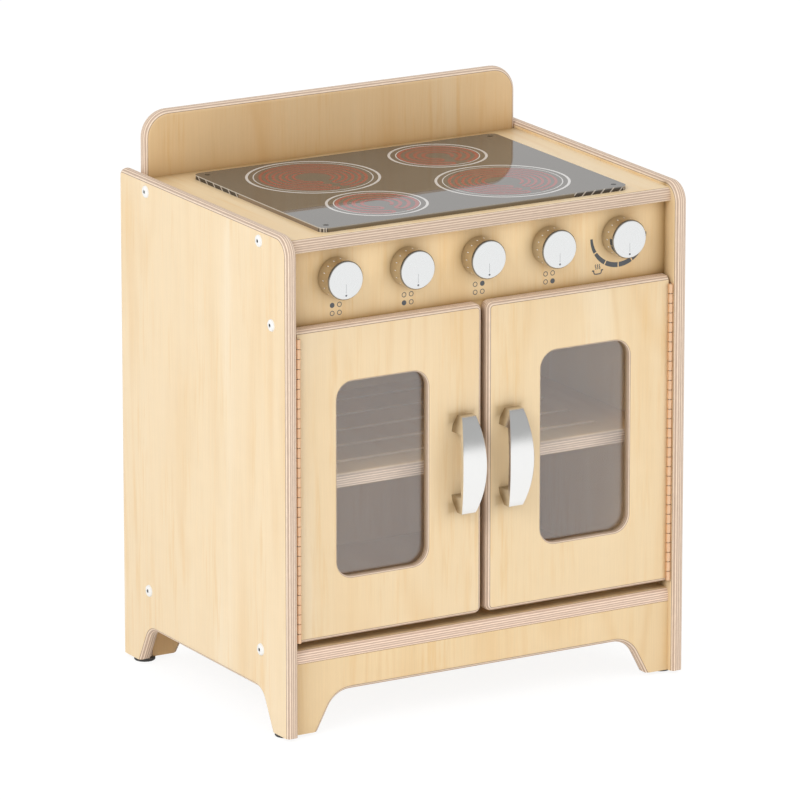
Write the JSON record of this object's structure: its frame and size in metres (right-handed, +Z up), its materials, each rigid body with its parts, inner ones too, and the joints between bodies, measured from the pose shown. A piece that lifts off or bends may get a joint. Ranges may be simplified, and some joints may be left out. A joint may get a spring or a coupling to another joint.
{
  "type": "toy oven",
  "caption": "Child's plywood play oven: cabinet on four feet with hob plate, turning knobs, two windowed doors on piano hinges and a slotted rack shelf.",
  "frame": {"origin": "on the floor, under the middle of the whole oven's box with the door handles counted in", "axes": "+X to the right as seen from the front, +Y from the doors to the back panel, +Z up"},
  "size_m": [0.5128, 0.3991, 0.632],
  "materials": {
    "birch_ply": "clear lacquered birch plywood with striped edges",
    "beech": "turned beech dowel",
    "hob_acrylic": "polished smoked acrylic",
    "window_acrylic": "clear smoked acrylic",
    "satin_aluminium": "satin brushed",
    "chromed_plastic": "mirror chromed moulding",
    "zinc_steel": "zinc plated",
    "white_steel": "white enamel",
    "black_steel": "black oxide",
    "copper_steel": "copper plated",
    "white_nylon": "moulded nylon",
    "brown_plastic": "moulded catch body",
    "ferrite": "sintered magnet",
    "dark_rubber": "moulded rubber pad"
  },
  "bodies": {
    "cabinet": {"left_side_panel": "birch_ply", "right_side_panel": "birch_ply", "back_panel": "birch_ply", "worktop": "birch_ply", "control_panel": "birch_ply", "bottom_board": "birch_ply", "front_apron": "birch_ply", "rack_shelf": "birch_ply", "shelf_pins": "zinc_steel", "glides": "dark_rubber", "hob_plate": "hob_acrylic", "hob_screws": "black_steel", "left_bolts": "white_steel", "right_bolts": "white_steel", "barrel_nuts": "zinc_steel", "back_screws": "zinc_steel", "apron_dowels": "beech", "spindle_bushes": "white_nylon", "frame_leaf_screws": "copper_steel", "catch_body": "brown_plastic", "catch_magnets": "ferrite", "catch_screws": "zinc_steel", "left_hinge_frame_leaf": "copper_steel", "right_hinge_frame_leaf": "copper_steel", "left_hinge_pin": "zinc_steel", "right_hinge_pin": "zinc_steel"},
    "left_door": {"left_door": "birch_ply", "left_window": "window_acrylic", "left_window_clips": "white_nylon", "left_window_screws": "zinc_steel", "left_handle": "satin_aluminium", "left_handle_screws": "zinc_steel", "left_hinge_door_leaf": "copper_steel", "left_door_leaf_screws": "copper_steel", "left_strike_plate": "zinc_steel"},
    "right_door": {"right_door": "birch_ply", "right_window": "window_acrylic", "right_window_clips": "white_nylon", "right_window_screws": "zinc_steel", "right_handle": "satin_aluminium", "right_handle_screws": "zinc_steel", "right_hinge_door_leaf": "copper_steel", "right_door_leaf_screws": "copper_steel", "right_strike_plate": "zinc_steel"},
    "knob_1": {"knob_1_body": "chromed_plastic", "knob_1_cap": "satin_aluminium", "knob_1_spindle": "zinc_steel"},
    "knob_2": {"knob_2_body": "chromed_plastic", "knob_2_cap": "satin_aluminium", "knob_2_spindle": "zinc_steel"},
    "knob_3": {"knob_3_body": "chromed_plastic", "knob_3_cap": "satin_aluminium", "knob_3_spindle": "zinc_steel"},
    "knob_4": {"knob_4_body": "chromed_plastic", "knob_4_cap": "satin_aluminium", "knob_4_spindle": "zinc_steel"},
    "knob_5": {"knob_5_body": "chromed_plastic", "knob_5_cap": "satin_aluminium", "knob_5_spindle": "zinc_steel"}
  },
  "joints": [
    {"name": "left_door_hinge", "type": "hinge", "parent": "cabinet", "child": "left_door", "pos_m": [-0.23605, -0.17195, 0.283], "axis": [0, 0, -1], "range_deg": [0, 115]},
    {"name": "right_door_hinge", "type": "hinge", "parent": "cabinet", "child": "right_door", "pos_m": [0.23605, -0.17195, 0.283], "axis": [0, 0, 1], "range_deg": [0, 115]},
    {"name": "knob_1_turn", "type": "hinge", "parent": "cabinet", "child": "knob_1", "pos_m": [-0.1793, -0.15345, 0.5094], "axis": [0, -1, 0], "continuous": true},
    {"name": "knob_2_turn", "type": "hinge", "parent": "cabinet", "child": "knob_2", "pos_m": [-0.08965, -0.15345, 0.5094], "axis": [0, -1, 0], "continuous": true},
    {"name": "knob_3_turn", "type": "hinge", "parent": "cabinet", "child": "knob_3", "pos_m": [0, -0.15345, 0.5094], "axis": [0, -1, 0], "continuous": true},
    {"name": "knob_4_turn", "type": "hinge", "parent": "cabinet", "child": "knob_4", "pos_m": [0.08965, -0.15345, 0.5094], "axis": [0, -1, 0], "continuous": true},
    {"name": "knob_5_turn", "type": "hinge", "parent": "cabinet", "child": "knob_5", "pos_m": [0.1793, -0.15345, 0.5094], "axis": [0, -1, 0], "continuous": true}
  ]
}
